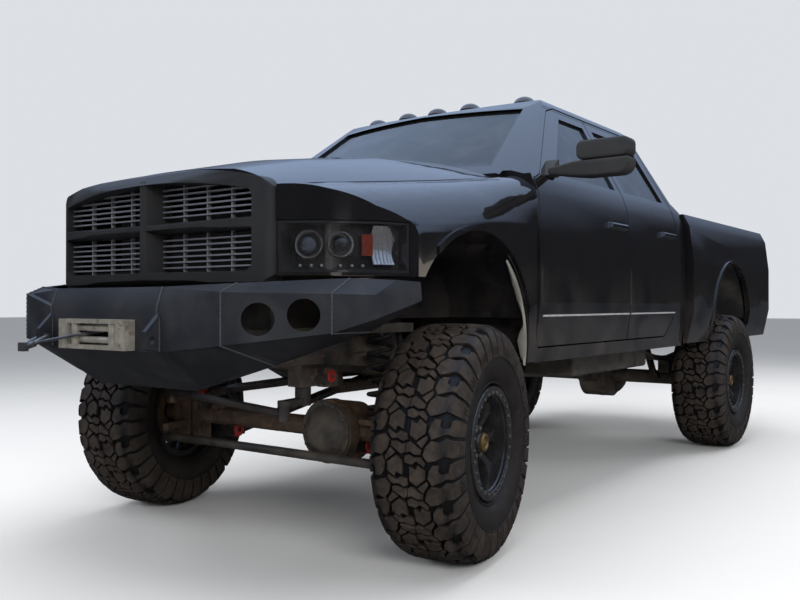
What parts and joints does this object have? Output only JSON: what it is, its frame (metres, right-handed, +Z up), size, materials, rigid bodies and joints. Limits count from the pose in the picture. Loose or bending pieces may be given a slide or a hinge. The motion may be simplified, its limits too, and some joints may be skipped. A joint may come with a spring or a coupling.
{
  "type": "pickup truck",
  "caption": "Lifted crew-cab pickup truck with plate front bumper, winch, large mud tyres and short load bed.",
  "frame": {"origin": "centre of the overall box, on the ground", "axes": "+Z up, -Y towards the truck's nose, +X towards its left side"},
  "size_m": [2.71, 5.969, 2.2128],
  "materials": {
    "paint_black": "gloss",
    "frame_black": "satin",
    "axle_iron": "rough",
    "spring_black": "satin",
    "engine_iron": "rough",
    "steel_dull": "worn",
    "tank_plastic": "matte",
    "glass_dark": "clear",
    "lamp_smoke": "gloss",
    "lamp_black": "gloss",
    "lamp_red": "gloss",
    "radiator_black": "matte",
    "bumper_black": "satin",
    "winch_grey": "satin",
    "fairlead_zinc": "satin",
    "cable_steel": "satin",
    "trim_black": "matte",
    "grille_silver": "satin",
    "seat_cloth": "woven",
    "dash_plastic": "matte",
    "tyre_rubber": "dusty",
    "rim_black": "satin",
    "steering_steel": "satin"
  },
  "bodies": {
    "truck": {"frame": "frame_black", "front_axle": "axle_iron", "rear_axle": "frame_black", "front_links": "spring_black", "coil_springs": "spring_black", "shocks": "spring_black", "leaf_springs": "steel_dull", "powertrain": "engine_iron", "exhaust": "steel_dull", "fuel_tank": "tank_plastic", "cab": "paint_black", "cab_glass": "glass_dark", "roof_lamps": "lamp_smoke", "fenders": "paint_black", "headlamps": "lamp_black", "radiator": "radiator_black", "front_bumper": "bumper_black", "winch": "winch_grey", "fairlead": "fairlead_zinc", "tow_tabs": "bumper_black", "shackle": "cable_steel", "winch_cable": "cable_steel", "bed_tub": "paint_black", "bed_sides": "paint_black", "tail_lamps": "lamp_red", "rear_bumper": "bumper_black", "receiver": "frame_black", "dashboard": "dash_plastic", "seats": "seat_cloth"},
    "wheel_fl": {"tyre_fl": "tyre_rubber", "rim_fl": "rim_black"},
    "wheel_fr": {"tyre_fr": "tyre_rubber", "rim_fr": "rim_black"},
    "wheel_rl": {"tyre_rl": "tyre_rubber", "rim_rl": "rim_black"},
    "wheel_rr": {"tyre_rr": "tyre_rubber", "rim_rr": "rim_black"},
    "knuckle_left": {"knuckle_left": "axle_iron"},
    "knuckle_right": {"knuckle_right": "axle_iron"},
    "tie_rod": {"tie_rod": "steering_steel"},
    "drag_link": {"drag_link": "steering_steel"},
    "pitman_arm": {"pitman_arm": "steering_steel"},
    "tailgate": {"tailgate": "paint_black"},
    "door_front_left": {"door_front_left": "paint_black", "glass_front_left": "glass_dark", "mirror_left": "trim_black"},
    "door_rear_left": {"door_rear_left": "paint_black", "glass_rear_left": "glass_dark"},
    "door_front_right": {"door_front_right": "paint_black", "glass_front_right": "glass_dark", "mirror_right": "trim_black"},
    "door_rear_right": {"door_rear_right": "paint_black", "glass_rear_right": "glass_dark"},
    "hood": {"hood": "paint_black", "grille_shell": "trim_black", "grille_bars": "grille_silver"}
  },
  "joints": [
    {"name": "steer_left", "type": "hinge", "parent": "truck", "child": "knuckle_left", "pos_m": [0.745, -1.815, 0.484], "axis": [0, 0, 1], "range_deg": [-35, 15]},
    {"name": "steer_right", "type": "hinge", "parent": "truck", "child": "knuckle_right", "pos_m": [-0.745, -1.815, 0.484], "axis": [0, 0, 1], "range_deg": [-35, 15]},
    {"name": "spin_front_left", "type": "hinge", "parent": "knuckle_left", "child": "wheel_fl", "pos_m": [0.89765, -1.78808, 0.484], "axis": [0.9848, 0.1736, 0], "continuous": true},
    {"name": "spin_front_right", "type": "hinge", "parent": "knuckle_right", "child": "wheel_fr", "pos_m": [-0.89765, -1.84192, 0.484], "axis": [0.9848, 0.1736, 0], "continuous": true},
    {"name": "spin_rear_left", "type": "hinge", "parent": "truck", "child": "wheel_rl", "pos_m": [0.9, 1.754, 0.484], "axis": [1, 0, 0], "continuous": true},
    {"name": "spin_rear_right", "type": "hinge", "parent": "truck", "child": "wheel_rr", "pos_m": [-0.9, 1.754, 0.484], "axis": [1, 0, 0], "continuous": true},
    {"name": "tie_rod_pivot", "type": "hinge", "parent": "knuckle_left", "child": "tie_rod", "pos_m": [0.77626, -1.99227, 0.384], "axis": [0, 0, 1], "range_deg": [-15, 35]},
    {"name": "drag_link_pivot", "type": "hinge", "parent": "knuckle_right", "child": "drag_link", "pos_m": [-0.72069, -1.95287, 0.604], "axis": [0, 0, 1], "range_deg": [-15, 35]},
    {"name": "pitman_pivot", "type": "hinge", "parent": "truck", "child": "pitman_arm", "pos_m": [0.33, -2.105, 0.64], "axis": [0, 0, 1], "range_deg": [-35, 15]},
    {"name": "door_front_left_hinge", "type": "hinge", "parent": "truck", "child": "door_front_left", "pos_m": [0.988, -1.193, 1.2], "axis": [0, 0, -1], "range_deg": [0, 65]},
    {"name": "door_rear_left_hinge", "type": "hinge", "parent": "truck", "child": "door_rear_left", "pos_m": [0.988, -0.104, 1.2], "axis": [0, 0, -1], "range_deg": [0, 65]},
    {"name": "door_front_right_hinge", "type": "hinge", "parent": "truck", "child": "door_front_right", "pos_m": [-0.988, -1.193, 1.2], "axis": [0, 0, 1], "range_deg": [0, 65]},
    {"name": "door_rear_right_hinge", "type": "hinge", "parent": "truck", "child": "door_rear_right", "pos_m": [-0.988, -0.104, 1.2], "axis": [0, 0, 1], "range_deg": [0, 65]},
    {"name": "hood_hinge", "type": "hinge", "parent": "truck", "child": "hood", "pos_m": [0, -1.325, 1.7], "axis": [-1, 0, 0], "range_deg": [0, 55]},
    {"name": "tailgate_hinge", "type": "hinge", "parent": "truck", "child": "tailgate", "pos_m": [0, 2.841, 1.04], "axis": [-1, 0, 0], "range_deg": [0, 90]}
  ],
  "couplings": [
    {"joint": "steer_right", "follows": "steer_left", "ratio": 1},
    {"joint": "tie_rod_pivot", "follows": "steer_left", "ratio": -1},
    {"joint": "drag_link_pivot", "follows": "steer_left", "ratio": -1},
    {"joint": "pitman_pivot", "follows": "steer_left", "ratio": 1}
  ]
}
